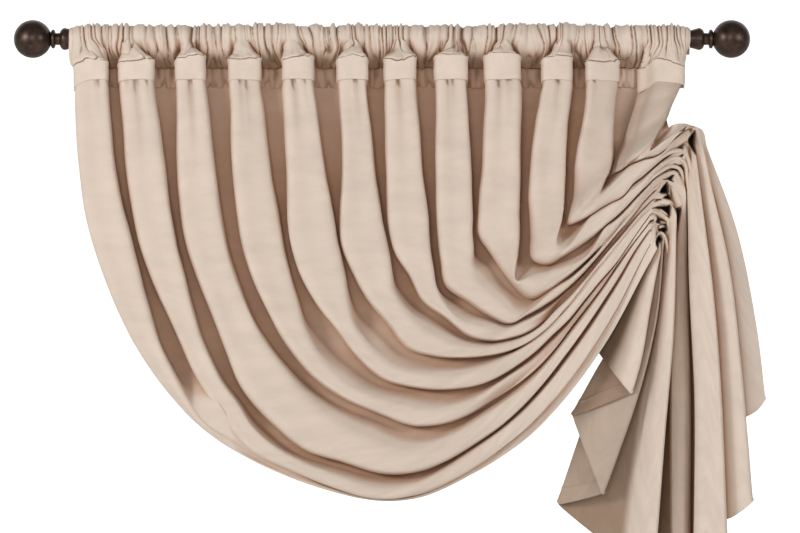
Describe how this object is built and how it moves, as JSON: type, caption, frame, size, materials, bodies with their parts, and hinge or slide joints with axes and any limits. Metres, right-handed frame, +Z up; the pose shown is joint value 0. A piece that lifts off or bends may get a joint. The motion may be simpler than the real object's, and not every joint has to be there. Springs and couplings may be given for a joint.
{
  "type": "waterfall swag valance curtain on a rod",
  "caption": "Velvet curtain valance with a ruffled rod pocket, draped swag folds gathered to one side and a zigzag tail, on a rod with ball finials.",
  "frame": {"origin": "on the rod's axis, midway along the rod", "axes": "+X along the rod to the tail's side, -Y towards the room (the front of the folds), +Z up"},
  "size_m": [1.2848, 0.1245, 0.9285],
  "materials": {
    "velvet": "matte short-pile velvet, sand beige",
    "bronze": "dark oil-rubbed bronze, satin"
  },
  "bodies": {
    "root": {"panel": "velvet", "band": "velvet", "pocket": "velvet", "rod": "bronze", "finial_left": "bronze", "finial_right": "bronze"}
  },
  "joints": []
}
